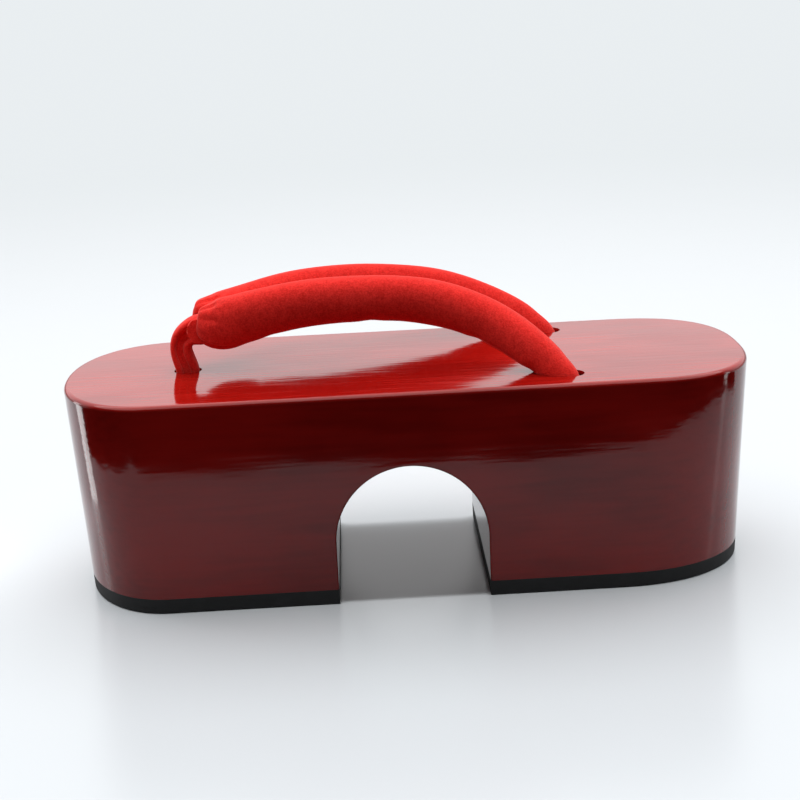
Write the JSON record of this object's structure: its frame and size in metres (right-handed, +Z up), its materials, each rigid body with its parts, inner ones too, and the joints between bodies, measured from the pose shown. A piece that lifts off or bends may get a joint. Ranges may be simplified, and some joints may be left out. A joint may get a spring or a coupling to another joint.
{
  "type": "geta sandal",
  "caption": "Lacquered wooden platform sandal with rounded ends, an arched tunnel under the waist, rubber sole pads, padded V straps and a cloth toe loop.",
  "frame": {"origin": "centre of the sandal's bounding box on the floor plane", "axes": "+X from toe to heel, +Y across the foot, +Z up from the floor"},
  "size_m": [0.24, 0.0968, 0.1082],
  "materials": {
    "red_lacquer": "glossy deep red lacquer over wood",
    "sole_rubber": "matt black rubber sheet",
    "strap_cloth": "bright red napped cloth over soft padding",
    "loop_cloth": "bright red napped cloth, folded flat"
  },
  "bodies": {
    "root": {"wooden_block": "red_lacquer", "front_sole": "sole_rubber", "rear_sole": "sole_rubber", "strap_upper": "strap_cloth", "toe_loop": "loop_cloth"}
  },
  "joints": []
}
